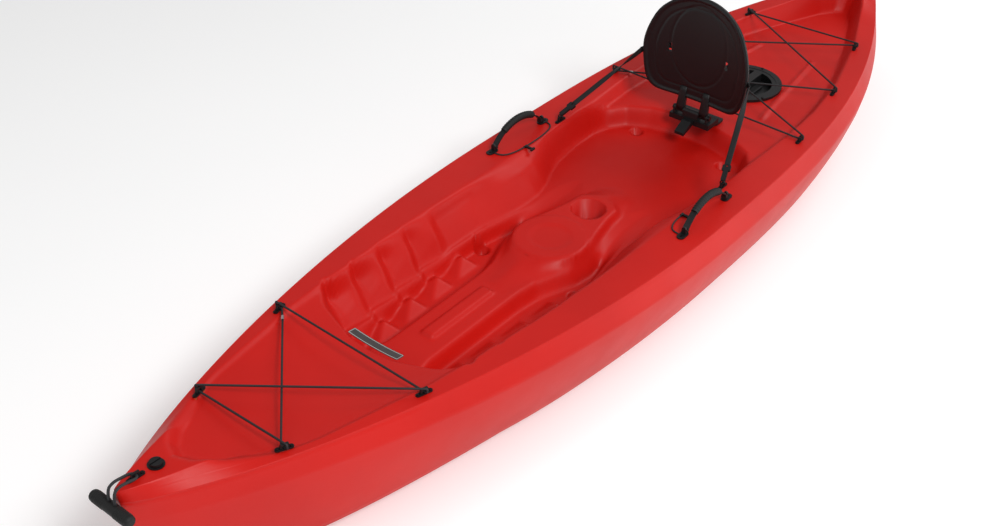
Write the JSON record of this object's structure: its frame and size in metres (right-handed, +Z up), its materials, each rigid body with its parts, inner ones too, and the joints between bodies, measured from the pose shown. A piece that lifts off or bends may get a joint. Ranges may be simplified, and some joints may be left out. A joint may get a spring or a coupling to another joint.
{
  "type": "sit-on-top kayak",
  "caption": "Moulded sit-on-top kayak with a folding seat back, round stern hatch, drain plug, laced bungee decks, side carry handles and bow and stern pull handles.",
  "frame": {"origin": "on the ground under the middle of the hull's length and breadth", "axes": "+X to the bow, +Y to port, +Z up"},
  "size_m": [3.113, 0.76, 0.603],
  "materials": {
    "red_polyethylene": "satin rotomoulded polyethylene, red",
    "foam": "closed cell polyethylene foam",
    "badge": "blank moulded plate",
    "stainless_steel": "plain stainless steel",
    "blackened_steel": "blackened stainless steel",
    "brass_insert": "plain brass",
    "black_cord": "braided polyester cover",
    "black_rubber": "matte black rubber",
    "black_webbing": "woven polypropylene webbing",
    "black_plastic": "moulded black nylon"
  },
  "bodies": {
    "hull": {"backrest_bracket": "black_plastic", "backrest_pin": "blackened_steel", "badge_plate": "badge", "bow_cord_anchor": "black_plastic", "bracket_screws": "blackened_steel", "drain_bushing": "black_plastic", "flotation_foam": "foam", "front_bungee": "black_cord", "front_bungee_crimp": "stainless_steel", "front_pad_eye_1": "black_plastic", "front_pad_eye_2": "black_plastic", "front_pad_eye_3": "black_plastic", "front_pad_eye_4": "black_plastic", "handle_screws": "blackened_steel", "hatch_ring": "black_plastic", "hatch_screws": "blackened_steel", "hull_shell": "red_polyethylene", "pad_eye_screws": "blackened_steel", "port_handle_feet": "black_plastic", "port_keeper_cord": "black_cord", "port_keeper_hook": "black_plastic", "port_strap_eye": "black_plastic", "port_strap_hook": "black_plastic", "rear_bungee": "black_cord", "rear_bungee_crimp": "stainless_steel", "rear_pad_eye_1": "black_plastic", "rear_pad_eye_2": "black_plastic", "rear_pad_eye_3": "black_plastic", "rear_pad_eye_4": "black_plastic", "rear_pad_eye_5": "black_plastic", "rear_pad_eye_6": "black_plastic", "starboard_handle_feet": "black_plastic", "starboard_keeper_cord": "black_cord", "starboard_keeper_hook": "black_plastic", "starboard_strap_eye": "black_plastic", "starboard_strap_hook": "black_plastic", "stern_cord_anchor": "black_plastic", "threaded_inserts": "brass_insert"},
    "backrest": {"backrest_shell": "black_plastic", "port_back_strap": "black_webbing", "starboard_back_strap": "black_webbing"},
    "hatch_lift_ring": {"hatch_seal": "black_rubber"},
    "hatch_cover": {"hatch_lid": "black_plastic"},
    "drain_lift_ring": {"drain_seal": "black_rubber"},
    "drain_stopper": {"drain_plug": "black_plastic"},
    "port_handle": {"port_handle_strap": "black_webbing", "port_handle_grip": "black_rubber"},
    "starboard_handle": {"starboard_handle_strap": "black_webbing", "starboard_handle_grip": "black_rubber"},
    "bow_pull": {"bow_toggle": "black_rubber", "bow_toggle_cord": "black_cord"},
    "stern_pull": {"stern_toggle": "black_rubber", "stern_toggle_cord": "black_cord"}
  },
  "joints": [
    {"name": "backrest_fold", "type": "hinge", "parent": "hull", "child": "backrest", "pos_m": [-0.434, 0, 0.262], "axis": [0, 1, 0], "range_deg": [-12, 85], "deforming": ["port_back_strap", "starboard_back_strap"]},
    {"name": "hatch_lift", "type": "slide", "parent": "hull", "child": "hatch_lift_ring", "axis": [0, 0, 1], "range_m": [0, 0.03]},
    {"name": "hatch_turn", "type": "hinge", "parent": "hatch_lift_ring", "child": "hatch_cover", "pos_m": [-0.728, 0, 0.22], "axis": [0, 0, 1], "continuous": true},
    {"name": "drain_lift", "type": "slide", "parent": "hull", "child": "drain_lift_ring", "axis": [-0.0541, 0, 0.9985], "range_m": [0, 0.05]},
    {"name": "drain_turn", "type": "hinge", "parent": "drain_lift_ring", "child": "drain_stopper", "pos_m": [1.436, 0, 0.34108], "axis": [-0.0541, 0, 0.9985], "continuous": true},
    {"name": "port_handle_tip", "type": "hinge", "parent": "hull", "child": "port_handle", "pos_m": [-0.02661, 0.2995, 0.26792], "axis": [0.9996, 0.0265, 0.0069], "range_deg": [-75, 75], "stiffness_Nm_per_rad": 0.4},
    {"name": "starboard_handle_tip", "type": "hinge", "parent": "hull", "child": "starboard_handle", "pos_m": [-0.02661, -0.2995, 0.26792], "axis": [0.9996, -0.0265, 0.0069], "range_deg": [-75, 75], "stiffness_Nm_per_rad": 0.4},
    {"name": "bow_pull_lift", "type": "hinge", "parent": "hull", "child": "bow_pull", "pos_m": [1.482, 0, 0.3501], "axis": [0, -1, 0], "range_deg": [0, 95]},
    {"name": "stern_pull_lift", "type": "hinge", "parent": "hull", "child": "stern_pull", "pos_m": [-1.482, 0, 0.338], "axis": [0, 1, 0], "range_deg": [0, 95]}
  ]
}
